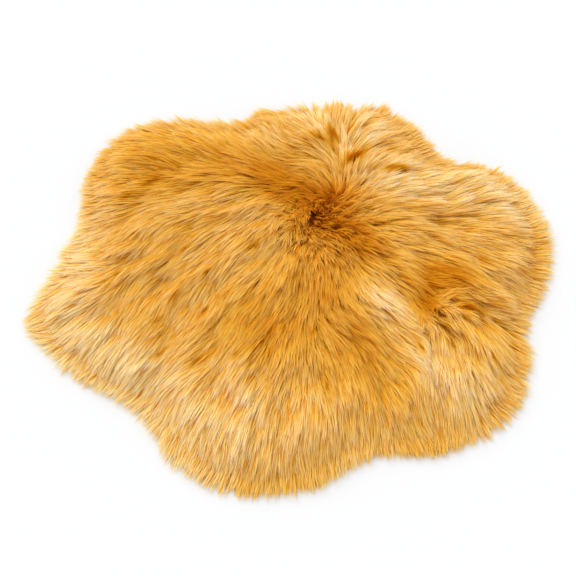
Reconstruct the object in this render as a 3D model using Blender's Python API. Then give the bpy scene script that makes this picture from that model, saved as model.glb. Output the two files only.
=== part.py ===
"""Faux sheepskin rug: one round piece of long-pile fur with six lobes, lying flat on the floor.

The rug is one cloth, so it is one solid: a lumpy slab of dense pile whose rim is parted into locks.
Each lock grows out of the slab's edge, tapers to a point and lies level on the floor.
Metres, +Z up. The origin is the middle of the rug's outline, on the floor. Heights count from the floor.
"""

import math
import random
from collections import namedtuple

import bmesh
import bpy
from mathutils import Matrix, Vector, noise
from mathutils.geometry import delaunay_2d_cdt

# Heights of the fur above the floor
CROWN_HEIGHT = 0.043
RIM_HEIGHT = 0.022
SHOULDER = 0.085  # how far in from the rim the fur goes on rising

# The rim's locks
LOCK_COUNT = 228
FRINGE = 0.042  # from the edge of the dense pile to the outline through the tips
SHORTEST_LOCK = 0.62  # of the fringe
LONGEST_LOCK = 1.14
LOCK_WIDTH_SPREAD = 0.30  # how far a lock's width may differ from the mean
COMBED_SHARE = 0.55  # how far a lock follows the combing and not the rim's outward normal
ROOT_FILL = 0.90  # a lock's share of its own stretch of rim, where it leaves the slab
LOCK_GAP = 0.0005  # kept free on each side of a lock's swing
RingRow = namedtuple("RingRow", "share fill height_left top_share")
LOCK_RINGS = (
    RingRow(share=0.38, fill=0.82, height_left=0.74, top_share=0.62),
    RingRow(share=0.74, fill=0.56, height_left=0.36, top_share=0.50),
)

# The slab's surface
TUFT_SPACING = 0.0165  # between the points that carry the lumps
RIM_CLEARANCE = 0.011  # from the rim to the first of those points
FLOOR_SPACING = 0.070
TUFT_RISE = 0.0095
SWELL_RISE = 0.0060
TUFT_SIZE = 0.030
SWELL_SIZE = 0.130
STROKE = 0.012  # step along the fur over which a tuft is drawn out
STROKES = 3  # steps to each side
TUFT_JITTER = 0.2  # of their spacing
RIM_RELIEF = 0.35  # share of the relief that is left at the rim

# How the rim's locks vary together in wisps
WISP_SIZE = 0.045
WISP_CONTRAST = 0.9
WISP_SHARE = 0.5  # the rest is each lock's own

# Heights at which the three noises are read, so that they differ
TUFT_SLICE, SWELL_SLICE, WISP_SLICE = 3.7, 8.1, 5.3

# The fur is combed outwards from this place
CROWN_PLACE = Vector((0.060, 0.190))

RimRow = namedtuple("RimRow", "place bearing_deg reach")
RIM = (
    RimRow("right lobe, front side", 3, 0.459),
    RimRow("right lobe, tip", 18, 0.477),
    RimRow("right lobe, back side", 32, 0.462),
    RimRow("back right notch", 45, 0.402),
    RimRow("back lobe, right side", 58, 0.434),
    RimRow("back lobe, tip", 68, 0.450),
    RimRow("back lobe, left side", 81, 0.426),
    RimRow("back lobe, left corner", 95, 0.421),
    RimRow("back left notch", 106, 0.390),
    RimRow("far left lobe, right side", 121, 0.447),
    RimRow("far left lobe, tip", 134, 0.476),
    RimRow("far left lobe, left side", 148, 0.452),
    RimRow("left notch", 164, 0.409),
    RimRow("near left lobe, back side", 179, 0.433),
    RimRow("near left lobe, tip", 191, 0.468),
    RimRow("near left lobe, front side", 207, 0.429),
    RimRow("front left notch", 226, 0.378),
    RimRow("front lobe, left side", 242, 0.416),
    RimRow("front lobe, tip", 257, 0.435),
    RimRow("front lobe, right side", 275, 0.413),
    RimRow("front notch", 289, 0.380),
    RimRow("front right lobe, left side", 306, 0.428),
    RimRow("front right lobe, tip", 321, 0.457),
    RimRow("front right lobe, right side", 335, 0.440),
    RimRow("right notch", 347, 0.416),
)

# Where the fur's direction turns away from straight outwards, counter-clockwise positive
TurnRow = namedtuple("TurnRow", "place x y radius turn_deg")
TURNS = (
    TurnRow("far left lobe", -0.330, 0.214, 0.130, 14),
    TurnRow("back lobe, right half", 0.155, 0.312, 0.090, -20),
    TurnRow("middle, right of the crown", 0.150, -0.095, 0.110, 10),
    TurnRow("right lobe", 0.340, 0.138, 0.130, 6),
    TurnRow("front left", -0.150, -0.331, 0.130, 5),
)

# Hollows and mounds that show from a step away: half lengths along and across a heading
ReliefRow = namedtuple("ReliefRow", "place x y along across heading_deg rise")
RELIEF = (
    ReliefRow("crown hollow", 0.060, 0.170, 0.060, 0.045, 20, -0.008),
    ReliefRow("parting in the back lobe", 0.090, 0.313, 0.052, 0.016, 105, -0.012),
    ReliefRow("mound right of the parting", 0.130, 0.328, 0.060, 0.030, 60, 0.006),
    ReliefRow("mound left of the parting", 0.035, 0.316, 0.055, 0.030, 112, 0.005),
    ReliefRow("hollow right of the middle", 0.225, -0.055, 0.045, 0.035, 100, -0.008),
    ReliefRow("small gap near the right notch", 0.305, -0.085, 0.028, 0.014, 160, -0.008),
    ReliefRow("trough in the far left lobe", -0.250, 0.182, 0.080, 0.026, 48, -0.007),
    ReliefRow("ridge in front of the crown", 0.175, -0.115, 0.090, 0.035, 120, 0.005),
    ReliefRow("ridge in the near left lobe", -0.330, -0.091, 0.100, 0.035, 28, 0.004),
    ReliefRow("trough in the front lobe", -0.040, -0.305, 0.080, 0.030, 75, -0.004),
)

FUR_COLOUR = (0.62, 0.33, 0.075, 1.0)
FUR_ROUGHNESS = 0.75
CREASE_DEG = 50  # faces that meet more sharply than this show an edge
SEED = 11
RIM_SAMPLES = 2880


def clear_scene():
    for obj in list(bpy.data.objects):
        bpy.data.objects.remove(obj, do_unlink=True)


def smooth(share):
    share = min(1.0, max(0.0, share))
    return share * share * (3 - 2 * share)


def reach_at(bearing_deg):
    """How far the fur's tips reach from the middle, from a smooth closed curve through the rim's rows."""
    count = len(RIM)
    bearing = bearing_deg % 360
    after = next((i for i, row in enumerate(RIM) if row.bearing_deg > bearing), count)
    at, reaches = [], []
    for step in (-2, -1, 0, 1):
        turn, index = divmod(after + step, count)
        at.append(RIM[index].bearing_deg + 360 * turn)
        reaches.append(RIM[index].reach)
    span = at[2] - at[1]
    share = (bearing - at[1]) / span
    slope_in = (reaches[2] - reaches[0]) / (at[2] - at[0]) * span
    slope_out = (reaches[3] - reaches[1]) / (at[3] - at[1]) * span
    cubed, squared = share**3, share**2
    return (
        (2 * cubed - 3 * squared + 1) * reaches[1]
        + (cubed - 2 * squared + share) * slope_in
        + (3 * squared - 2 * cubed) * reaches[2]
        + (cubed - squared) * slope_out
    )


def rim_curve():
    """The edge of the dense pile as closely spaced points, their outward normals and the running length."""
    points = []
    for i in range(RIM_SAMPLES):
        bearing = 360 * i / RIM_SAMPLES
        out = Vector((math.cos(math.radians(bearing)), math.sin(math.radians(bearing))))
        points.append(out * (reach_at(bearing) - FRINGE))
    normals = []
    for i, point in enumerate(points):
        along = points[(i + 1) % RIM_SAMPLES] - points[i - 1]
        normals.append(Vector((along.y, -along.x)).normalized())
    lengths = [0.0]
    for i in range(RIM_SAMPLES):
        lengths.append(lengths[-1] + (points[(i + 1) % RIM_SAMPLES] - points[i]).length)
    return points, normals, lengths


def on_rim(curve, length):
    """The rim's point and outward normal at this running length."""
    points, normals, lengths = curve
    length %= lengths[-1]
    low, high = 0, RIM_SAMPLES
    while high - low > 1:
        middle = (low + high) // 2
        if lengths[middle] <= length:
            low = middle
        else:
            high = middle
    share = (length - lengths[low]) / (lengths[low + 1] - lengths[low])
    following = (low + 1) % RIM_SAMPLES
    normal = normals[low].lerp(normals[following], share).normalized()
    return points[low].lerp(points[following], share), normal


def fur_heading(place):
    """The direction in which the fur is combed there."""
    out = place - CROWN_PLACE
    if out.length < 1e-6:
        return Vector((0.0, -1.0))
    turn = 0.0
    for row in TURNS:
        away = (place - Vector((row.x, row.y))).length / row.radius
        turn += row.turn_deg * math.exp(-away * away)
    return Matrix.Rotation(math.radians(turn), 2) @ out.normalized()


def depth_inside(place):
    """Distance in from the edge of the dense pile, measured towards the middle."""
    bearing = math.degrees(math.atan2(place.y, place.x))
    return reach_at(bearing) - FRINGE - place.length


def relief(place):
    """The stated hollows and mounds."""
    rise = 0.0
    for row in RELIEF:
        away = place - Vector((row.x, row.y))
        heading = math.radians(row.heading_deg)
        along = away.x * math.cos(heading) + away.y * math.sin(heading)
        across = away.y * math.cos(heading) - away.x * math.sin(heading)
        rise += row.rise * math.exp(-((along / row.along) ** 2) - (across / row.across) ** 2)
    return rise


def tufts(place):
    """Lumps drawn out along the fur, from the same noise read at several steps along it."""
    heading = fur_heading(place)
    total = 0.0
    for step in range(-STROKES, STROKES + 1):
        spot = (place + heading * (step * STROKE)) / TUFT_SIZE
        total += noise.noise(Vector((spot.x, spot.y, TUFT_SLICE)))
    broad = noise.noise(Vector((place.x / SWELL_SIZE, place.y / SWELL_SIZE, SWELL_SLICE)))
    return TUFT_RISE * total / math.sqrt(2 * STROKES + 1) + SWELL_RISE * broad


def fur_height(place):
    """Top of the dense pile above the floor."""
    rounded = math.sqrt(max(0.0, 1 - (1 - min(1.0, depth_inside(place) / SHOULDER)) ** 2))
    base = RIM_HEIGHT + (CROWN_HEIGHT - RIM_HEIGHT) * rounded
    settled = RIM_RELIEF + (1 - RIM_RELIEF) * smooth(rounded)
    return base + (relief(place) + tufts(place)) * settled


def grid_points(spacing, clearance, jitter, draw):
    """Points of a triangular grid that lie well inside the rim, each moved a little."""
    found = []
    extent = max(row.reach for row in RIM)
    row_step = spacing * math.sqrt(0.75)
    rows = math.ceil(extent / row_step)
    columns = math.ceil(extent / spacing)
    for j in range(-rows, rows + 1):
        for i in range(-columns, columns + 1):
            place = Vector(((i + 0.5 * (j % 2)) * spacing, j * row_step))
            place += Vector((draw.uniform(-1, 1), draw.uniform(-1, 1))) * jitter
            if depth_inside(place) > clearance:
                found.append(place)
    return found


def filled(rim, inner):
    """Triangles over the rim's outline between its points and the inner ones, as indices into both in turn."""
    count = len(rim)
    edges = [(i, (i + 1) % count) for i in range(count)]
    made, _, faces, sources, _, _ = delaunay_2d_cdt(rim + inner, edges, [], 1, 1e-7)
    if len(made) != count + len(inner):
        raise ValueError("the outline crosses itself or an inner point lies on it")
    return [[sources[i][0] for i in face] for face in faces]


def lock_starts(total, draw):
    """Running lengths along the rim at which each lock's own strip starts, and the end of the last one."""
    widths = [1 + LOCK_WIDTH_SPREAD * draw.uniform(-1, 1) for _ in range(LOCK_COUNT)]
    scale = total / sum(widths)
    starts = [0.0]
    for width in widths:
        starts.append(starts[-1] + width * scale)
    return starts


def strip_side(curve, length):
    """A side of a lock's strip: where it starts on the rim and which way it runs."""
    start, normal = on_rim(curve, length)
    return start, normal.lerp(fur_heading(start), COMBED_SHARE).normalized()


def lock_ring(strip, distance, fill, sway, height, top_share):
    """Four corners of a lock's section at this distance from the slab: two on the floor and two above."""
    (start_a, out_a), (start_b, out_b) = strip
    side_a, side_b = start_a + out_a * distance, start_b + out_b * distance
    across = side_b - side_a
    half = 0.5 * fill * across.length
    swing = max(0.0, 0.5 * across.length - half - LOCK_GAP)
    unit = across.normalized()
    middle = side_a.lerp(side_b, 0.5) + unit * (sway * swing)
    low_a, low_b = middle - unit * half, middle + unit * half
    top_a, top_b = middle - unit * (half * top_share), middle + unit * (half * top_share)
    return [
        Vector((*low_a, 0.0)),
        Vector((*low_b, 0.0)),
        Vector((*top_b, height)),
        Vector((*top_a, height)),
    ]


def lock_length(start, draw):
    """Neighbouring locks are of similar length, as they come in wisps."""
    spot = Vector((start.x / WISP_SIZE, start.y / WISP_SIZE, WISP_SLICE))
    wisp = min(1.0, max(0.0, 0.5 + WISP_CONTRAST * noise.noise(spot)))
    share = WISP_SHARE * wisp + (1 - WISP_SHARE) * draw.random()
    return FRINGE * (SHORTEST_LOCK + (LONGEST_LOCK - SHORTEST_LOCK) * share)


def add_lock(mesh, root, strip, draw):
    """Grows one lock from the slab's edge: root holds the edge's four corners."""
    length = lock_length(strip[0][0], draw)
    sway = draw.uniform(-1, 1)
    height = 0.5 * (root[2].co.z + root[3].co.z)
    rings = [root]
    for row in LOCK_RINGS:
        distance, turned, top = length * row.share, sway * row.share, height * row.height_left
        corners = lock_ring(strip, distance, row.fill, turned, top, row.top_share)
        rings.append([mesh.verts.new(corner) for corner in corners])
    tip_corners = lock_ring(strip, length, 0.0, sway, 0.0, 1.0)
    tip = mesh.verts.new(tip_corners[0])
    for inner, outer in zip(rings, rings[1:]):
        for k in range(4):
            mesh.faces.new((inner[k], inner[(k + 1) % 4], outer[(k + 1) % 4], outer[k]))
    last = rings[-1]
    for k in range(4):
        mesh.faces.new((last[k], last[(k + 1) % 4], tip))


def rug_mesh():
    draw = random.Random(SEED)
    curve = rim_curve()
    starts = lock_starts(curve[2][-1], draw)
    rim = []
    for low, high in zip(starts, starts[1:]):
        margin = 0.5 * (1 - ROOT_FILL) * (high - low)
        rim.append(on_rim(curve, low + margin)[0])
        rim.append(on_rim(curve, high - margin)[0])
    mesh = bmesh.new()

    lumps = grid_points(TUFT_SPACING, RIM_CLEARANCE, TUFT_JITTER * TUFT_SPACING, draw)
    tops = [mesh.verts.new((*p, fur_height(p))) for p in rim + lumps]
    for face in filled(rim, lumps):
        mesh.faces.new([tops[i] for i in face])

    rests = grid_points(FLOOR_SPACING, FLOOR_SPACING / 2, 0.0, draw)
    bottoms = [mesh.verts.new((*p, 0.0)) for p in rim + rests]
    for face in filled(rim, rests):
        mesh.faces.new([bottoms[i] for i in reversed(face)])

    for i in range(LOCK_COUNT):
        a, b, following = 2 * i, 2 * i + 1, (2 * i + 2) % len(rim)
        mesh.faces.new((bottoms[b], bottoms[following], tops[following], tops[b]))
        root = [bottoms[a], bottoms[b], tops[b], tops[a]]
        add_lock(mesh, root, [strip_side(curve, starts[k]) for k in (i, i + 1)], draw)
    bmesh.ops.recalc_face_normals(mesh, faces=mesh.faces)
    bmesh.ops.triangulate(mesh, faces=mesh.faces)
    return mesh


def centre_on_floor(mesh):
    """Puts the middle of the rug's outline over the origin."""
    lowest = [min(v.co[k] for v in mesh.verts) for k in range(2)]
    highest = [max(v.co[k] for v in mesh.verts) for k in range(2)]
    shift = [-(low + high) / 2 for low, high in zip(lowest, highest)]
    bmesh.ops.translate(mesh, vec=Vector((*shift, 0.0)), verts=mesh.verts)


def fur_material():
    material = bpy.data.materials.new("mustard_fur")
    material.use_nodes = True
    shader = material.node_tree.nodes["Principled BSDF"]
    shader.inputs["Base Color"].default_value = FUR_COLOUR
    shader.inputs["Roughness"].default_value = FUR_ROUGHNESS
    shader.inputs["Metallic"].default_value = 0.0
    material.diffuse_color = FUR_COLOUR
    return material


def main():
    clear_scene()
    mesh = rug_mesh()
    centre_on_floor(mesh)
    data = bpy.data.meshes.new("fur_rug")
    mesh.to_mesh(data)
    mesh.free()
    data.materials.append(fur_material())
    data.shade_smooth()
    data.set_sharp_from_angle(angle=math.radians(CREASE_DEG))
    rug = bpy.data.objects.new("fur_rug", data)
    bpy.context.scene.collection.objects.link(rug)


main()
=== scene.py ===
"""Looks of the faux sheepskin rug: knitted ground, dense underfur, long guard fur, and a stage.

The pile is a knitted ground cloth with fibre up to 74 mm long. The underfur is the dense lower part
of the pile, a lumpy body. The guard fur is single strands that stand in locks on it, bent over the
way they were combed. Metres and radians, +Z up, in the part's own frame.
"""

import math
from collections import namedtuple

import bpy
import numpy as np
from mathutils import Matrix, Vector, noise
from mathutils.bvhtree import BVHTree


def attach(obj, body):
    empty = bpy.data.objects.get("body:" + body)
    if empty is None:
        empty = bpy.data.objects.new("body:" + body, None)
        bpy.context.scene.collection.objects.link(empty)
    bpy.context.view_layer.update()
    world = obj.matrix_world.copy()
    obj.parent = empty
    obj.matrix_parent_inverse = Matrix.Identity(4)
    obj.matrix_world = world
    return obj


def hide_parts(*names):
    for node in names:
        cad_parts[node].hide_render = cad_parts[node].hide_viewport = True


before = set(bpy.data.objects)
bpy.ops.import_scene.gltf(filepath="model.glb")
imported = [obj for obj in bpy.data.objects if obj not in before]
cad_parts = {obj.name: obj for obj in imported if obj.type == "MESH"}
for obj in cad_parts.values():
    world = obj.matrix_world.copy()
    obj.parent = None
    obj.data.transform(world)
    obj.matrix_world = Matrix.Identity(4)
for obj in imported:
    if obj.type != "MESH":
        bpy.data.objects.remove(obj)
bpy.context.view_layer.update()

bl_info = {
    "name": "Faux sheepskin rug",
    "version": (1, 0, 0),
    "blender": (4, 5, 0),
    "location": "3D View > Sidebar > Rug",
    "description": "Builds a faux sheepskin rug's ground cloth, underfur and fur, and a stage",
    "category": "Object",
}

# From the middle of the tables below to the part's origin
SHIFT = Vector((-0.0055, 0.0018))

# How far the tips of the fur reach from the middle of the tables
RimRow = namedtuple("RimRow", "place bearing_deg reach")
RIM = [RimRow(*row) for row in (
    ("right lobe, front side", 3, 0.459),
    ("right lobe, tip", 18, 0.477),
    ("right lobe, back side", 32, 0.462),
    ("back right notch", 45, 0.402),
    ("back lobe, right side", 58, 0.434),
    ("back lobe, tip", 68, 0.450),
    ("back lobe, left side", 81, 0.426),
    ("back lobe, left corner", 95, 0.421),
    ("back left notch", 106, 0.390),
    ("far left lobe, right side", 121, 0.447),
    ("far left lobe, tip", 134, 0.476),
    ("far left lobe, left side", 148, 0.452),
    ("left notch", 164, 0.409),
    ("near left lobe, back side", 179, 0.433),
    ("near left lobe, tip", 191, 0.468),
    ("near left lobe, front side", 207, 0.429),
    ("front left notch", 226, 0.378),
    ("front lobe, left side", 242, 0.416),
    ("front lobe, tip", 257, 0.435),
    ("front lobe, right side", 275, 0.413),
    ("front notch", 289, 0.380),
    ("front right lobe, left side", 306, 0.428),
    ("front right lobe, tip", 321, 0.457),
    ("front right lobe, right side", 335, 0.440),
    ("right notch", 347, 0.416),
)]

# How the fur lies: x, y, degrees counter-clockwise from +X, and degrees that it stands up
COMB = (
    (-0.440, -0.115, 192, 12), (-0.400, -0.035, 211, 15), (-0.380, 0.035, 163, 15),
    (-0.345, 0.100, 199, 18), (-0.335, 0.210, 178, 20), (-0.270, 0.335, 143, 15),
    (-0.320, 0.295, 187, 12), (-0.210, 0.275, 172, 25), (-0.175, 0.330, 141, 8),
    (-0.100, 0.295, 144, 12), (-0.170, 0.170, 188, 25), (-0.200, 0.075, 232, 25),
    (-0.040, 0.215, 212, 35), (-0.125, -0.010, 241, 28), (-0.230, -0.075, 249, 22),
    (-0.155, -0.140, 229, 22), (-0.290, -0.180, 229, 15), (-0.335, -0.205, 230, 12),
    (-0.055, -0.075, 247, 28), (-0.025, -0.180, 245, 28), (-0.070, -0.275, 258, 20),
    (-0.150, -0.275, 253, 18), (-0.235, -0.270, 228, 15), (-0.150, -0.370, 242, 10),
    (-0.070, -0.405, 255, 8), (0.010, -0.405, 278, 8), (0.055, -0.375, 280, 10),
    (0.075, -0.275, 273, 18), (0.045, -0.180, 279, 28), (0.095, -0.075, 316, 40),
    (0.045, -0.010, 243, 40), (0.180, -0.075, 327, 35), (0.145, -0.140, 319, 32),
    (0.095, -0.180, 283, 30), (0.045, -0.275, 265, 20), (0.110, -0.275, 281, 20),
    (0.175, -0.275, 293, 18), (0.225, -0.180, 271, 30), (0.265, -0.120, 262, 32),
    (0.320, -0.075, 322, 25), (0.350, -0.130, 334, 18), (0.385, -0.060, 338, 12),
    (0.430, 0.030, 357, 10), (0.340, -0.205, 329, 15), (0.255, -0.235, 270, 18),
    (0.330, -0.295, 269, 10), (0.370, -0.255, 352, 8), (0.250, -0.330, 249, 8),
    (0.170, -0.340, 255, 10), (0.090, -0.390, 305, 8), (0.105, 0.325, 25, 18),
    (0.080, 0.345, 97, 12), (0.030, 0.325, 158, 18), (-0.005, 0.355, 152, 10),
    (-0.075, 0.345, 122, 10), (-0.055, 0.375, 125, 8), (-0.035, 0.325, 138, 12),
    (0.200, 0.275, 16, 28), (0.165, 0.360, 72, 8), (0.135, 0.385, 89, 5),
    (0.195, 0.145, 357, 35), (0.265, 0.145, 19, 25), (0.340, 0.210, 41, 18),
    (0.380, 0.235, 57, 12), (0.425, 0.165, 44, 10), (0.370, 0.120, 14, 18),
    (0.455, 0.075, 4, 8), (0.275, 0.055, 323, 25), (0.185, 0.030, 325, 35),
    (0.100, 0.030, 289, 50), (0.060, 0.140, 246, 54), (0.405, -0.035, 325, 10),
    (0.083, 0.182, 169, 30), (0.062, 0.208, 188, 30), (0.030, 0.227, 171, 28),
    (0.095, 0.231, 115, 32), (0.067, 0.264, 151, 30), (0.013, 0.264, 99, 30),
    (-0.027, 0.284, 97, 28), (-0.064, 0.272, 151, 25), (-0.020, 0.208, 157, 28),
    (-0.056, 0.189, 190, 28), (0.009, 0.165, 202, 32), (-0.032, 0.150, 207, 30),
    (-0.080, 0.156, 193, 28), (-0.004, 0.129, 236, 35), (-0.051, 0.108, 227, 30),
    (-0.013, 0.076, 239, 35), (-0.054, 0.043, 230, 30), (0.013, 0.041, 242, 35),
    (0.032, 0.028, 271, 35), (0.054, 0.028, 280, 35), (0.073, 0.049, 294, 38),
    (0.091, 0.076, 330, 40), (0.133, 0.066, 340, 35), (0.123, 0.029, 318, 35),
    (0.099, 0.105, 351, 40), (0.152, 0.113, 358, 32), (0.100, 0.136, 357, 38),
    (0.146, 0.147, 4, 32), (0.108, 0.169, 41, 38), (0.138, 0.179, 21, 32),
    (0.118, 0.212, 44, 35), (0.156, 0.226, 11, 30), (0.129, 0.265, 35, 32),
    (0.163, 0.293, 47, 25), (0.059, 0.301, 75, 35), (0.083, 0.322, 45, 35),
)

# Lines that the fur falls away from on both sides
PartingRow = namedtuple("PartingRow", "place x1 y1 x2 y2 spread_deg width")
PARTINGS = (
    PartingRow("back lobe, right of the middle", 0.085, 0.235, 0.115, 0.369, 40, 0.026),
    PartingRow("back lobe, left of the middle", 0.060, 0.255, 0.045, 0.354, 25, 0.022),
    PartingRow("left of the crown", 0.000, 0.180, -0.190, 0.205, 18, 0.030),
    PartingRow("right of the middle", 0.215, -0.025, 0.235, -0.095, 30, 0.024),
    PartingRow("near the right notch", 0.285, -0.070, 0.330, -0.101, 25, 0.020),
)

# Places where the fur stands up from its root and curls, darkened there as painted shade
WhorlRow = namedtuple("WhorlRow", "place x y radius lift_deg")
WHORLS = (
    WhorlRow("crown", 0.048, 0.122, 0.062, 32),
    WhorlRow("second whorl", 0.231, -0.067, 0.028, 26),
)

# Small hollows where the fur parts down to its roots, darkened as painted shade; the wide ones also
# shorten the fur
HollowRow = namedtuple("HollowRow", "place x y along across heading_deg")
HOLLOWS = [HollowRow(*row) for row in (
    ("fork in the back lobe, left", 0.073, 0.312, 0.030, 0.010, 100),
    ("fork in the back lobe, right", 0.113, 0.247, 0.028, 0.010, 44),
    ("under the left tufts", 0.050, 0.292, 0.014, 0.008, 150),
    ("near the right notch", 0.297, -0.085, 0.018, 0.010, 0),
    ("left, far", -0.188, 0.041, 0.013, 0.0044, 44),
    ("left, near the rim", -0.300, -0.015, 0.011, 0.0041, 41),
    ("left of the crown", -0.068, 0.047, 0.015, 0.0045, 38),
    ("left, middle", -0.149, -0.011, 0.014, 0.0035, 51),
    ("left, long", -0.201, -0.064, 0.020, 0.0035, 51),
    ("middle left", -0.113, -0.057, 0.014, 0.0035, 54),
    ("left, by the rim", -0.227, -0.106, 0.011, 0.0041, 41),
    ("middle left, front", -0.148, -0.086, 0.014, 0.0036, 48),
    ("middle", -0.039, -0.135, 0.012, 0.0039, 56),
    ("middle, right", 0.034, -0.131, 0.013, 0.0036, 74),
    ("front left", -0.159, -0.187, 0.015, 0.0052, 44),
    ("front left, by the rim", -0.219, -0.169, 0.012, 0.0044, 46),
    ("front, left", -0.094, -0.183, 0.012, 0.0038, 60),
    ("front, middle", -0.039, -0.179, 0.012, 0.0033, 67),
    ("front, right", 0.054, -0.237, 0.013, 0.0032, 86),
    ("foot of the ridge", 0.210, -0.169, 0.013, 0.0037, 111),
    ("right front", 0.261, -0.150, 0.015, 0.0036, 106),
    ("far left trough", -0.256, 0.196, 0.025, 0.0081, 41),
    ("far left trough, near", -0.297, 0.158, 0.015, 0.0062, 36),
    ("right of the fork", 0.189, 0.219, 0.025, 0.0052, 358),
)]

# Broad differences of shade, as a share of the way from dark fur to pale: partly the fur's own
# tone, partly painted shade and painted highlight
ShadeRow = namedtuple("ShadeRow", "place x y along across heading_deg shade")
SHADES = [ShadeRow(*row) for row in (
    ("crown", 0.050, 0.094, 0.061, 0.049, 319, -0.55),
    ("back of the crown", 0.091, 0.143, 0.026, 0.025, 90, -0.21),
    ("left of the crown", -0.002, 0.166, 0.049, 0.026, 170, -1.10),
    ("right front of the crown", 0.119, 0.059, 0.051, 0.031, 309, -0.81),
    ("in front of the crown", 0.062, -0.032, 0.070, 0.082, 0, -0.38),
    ("behind the crown, left", -0.036, 0.205, 0.036, 0.024, 165, -0.60),
    ("smooth sweep behind the crown", -0.087, 0.227, 0.110, 0.047, 162, -0.37),
    ("far left lobe", -0.258, 0.233, 0.084, 0.062, 36, -0.29),
    ("trough in the far left lobe", -0.264, 0.181, 0.058, 0.014, 44, -0.01),
    ("middle", -0.039, -0.131, 0.073, 0.065, 0, -0.47),
    ("left of the ridge", 0.105, -0.177, 0.056, 0.052, 90, -0.43),
    ("front of the ridge's foot", 0.146, -0.252, 0.030, 0.038, 90, -0.19),
    ("second whorl, back", 0.261, -0.018, 0.046, 0.026, 348, -1.10),
    ("second whorl, left", 0.223, -0.074, 0.035, 0.018, 90, -0.83),
    ("gap near the right notch", 0.299, -0.079, 0.022, 0.015, 336, -0.49),
    # Painted shadow in the forks and the streak beside them, under tufts that stand up
    ("fork in the back lobe, left", 0.070, 0.308, 0.032, 0.009, 98, -0.38),
    ("fork in the back lobe, right", 0.116, 0.250, 0.029, 0.010, 46, -1.10),
    ("streak right of the fork", 0.185, 0.216, 0.028, 0.009, 358, -0.87),
    # Painted shade on the front rims, which face away from the light
    ("front rim", -0.049, -0.413, 0.126, 0.024, 4, -0.15),
    ("front right rim", 0.215, -0.340, 0.092, 0.021, 15, -0.15),
    ("right front rim", 0.337, -0.297, 0.043, 0.031, 51, -0.15),
    # Paler tufts and band: the fur's own paler tone with painted highlight where they are lit
    ("left tufts of the back lobe", 0.035, 0.347, 0.030, 0.028, 0, 1.00),
    ("right tufts of the back lobe", 0.127, 0.312, 0.046, 0.032, 46, 1.00),
    ("band right of the crown", 0.262, 0.186, 0.106, 0.037, 350, 1.00),
    ("under the band", 0.188, 0.137, 0.046, 0.019, 354, -0.04),
    ("right lobe", 0.393, 0.146, 0.052, 0.061, 0, 0.34),
    # Painted highlight on the lit crest of the ridge
    ("ridge", 0.155, -0.080, 0.049, 0.024, 319, 0.61),
    ("foot of the ridge", 0.226, -0.209, 0.093, 0.025, 302, 0.26),
    ("right of the second whorl", 0.328, -0.140, 0.048, 0.029, 324, -0.04),
    ("front right lobe", 0.300, -0.242, 0.052, 0.052, 0, 0.17),
    ("near left lobe", -0.390, 0.003, 0.052, 0.143, 0, 0.66),
    ("front of the near left lobe", -0.318, -0.174, 0.092, 0.042, 330, 0.63),
    ("front left lobe", -0.149, -0.295, 0.140, 0.091, 0, 0.38),
    ("front lobe", -0.006, -0.287, 0.079, 0.087, 0, -0.02),
)]

# Pieces of guard fur, counter-clockwise from the right
ZONES = (
    "fur_right",
    "fur_back",
    "fur_far_left",
    "fur_near_left",
    "fur_front",
    "fur_front_right",
)

# The lie
FLATTENED = 0.36  # share of the seen lift that comes from the strands and not from the surface
COMB_BLUR = 0.045  # distance over which one row's direction passes into the next
FAR_BLUR, FAR_SHARE = 0.11, 0.02  # a broader, fainter blur where no row is near
PARTING_FADE, PARTING_EDGE = 2.0, 0.35  # reach and sharpness of a parting, in its widths
DRIFT = 0.30  # turn of the lie in broad waves
DRIFT_SIZE, DRIFT_SLICE = 0.048, 4.4  # breadth of a wave, and where its noise is cut
FULL_CURL = 32  # lift in degrees of a whorl that curls in full
CURL_LOSS, CURL_RISE = 0.40, 0.7  # what fur loses of its lie in a whorl, and gains upwards

# The length
STRAND_REACH = 0.90  # how far out a strand gets, as a share of its length
PAST_RIM = 0.003  # how far a tip may pass the rim
LEAST_GROWTH, MOST_GROWTH = 0.25, 1.08
FIT_ROUNDS, FIT_STEP, FIT_BLEND = 4, (-0.05, 0.5), 0.02  # how the growth is fitted to the rim
RIM_SHORTER, RIM_TRIM = 0.03, 0.08  # how much shorter the fur is at the rim, and over what width
UPRIGHT_SHORTER = 0.30  # how much shorter it is where it stands up
UPRIGHT_FROM, UPRIGHT_OVER = 14, 20  # degrees at which that starts, and over which it grows
HOLLOW_SHORTER, WIDE_HOLLOW = 0.50, 0.0075  # how much shorter in hollows of this width or more

# The shade
BASE_SHADE = 0.609  # of the whole rug, from dark at 0 to pale at 1
RIM_PALER, RIM_BAND = 0.06, 0.16  # how much paler the rim is, and over what width
# Painted shade: a share of strands take their root colours, like thin shaded gaps between locks
SHADE_STRAND_SHARE, SHADE_STRAND_DEPTH = 0.12, 0.52  # share of strands that look dark, and how near the root
# Painted shade: fur takes the darker colours nearer its root in hollows and whorls
HOLLOW_SHADE, CURL_SHADE = 0.92, 0.45  # how much nearer the root fur looks in hollows and whorls
FUR_STOPS = ((0.26, "root"), (0.62, "middle"))  # where along a strand these colours are
FUR_ROUGHNESS = 0.45
THROUGH_SHARE, THROUGH_GAMMA = 0.4, 1.5  # light that comes through the fur, and its deeper colour
UV_MAP = "OFBake"
UV_TONE, UV_SIDE, UV_DEPTH = 0.92, 0.02, 0.96  # parts of the map that tone, side and depth take up

# Waves drawn out along the lie: how much they add, their size, and the samples taken along them
StreakKind = namedtuple("StreakKind", "most size step count slice")
UNDERFUR_STREAKS = StreakKind(0.0050, 0.016, 0.008, 3, 2.3)
SHADE_STREAKS = StreakKind(0.08, 0.045, 0.018, 3, 6.1)

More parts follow.
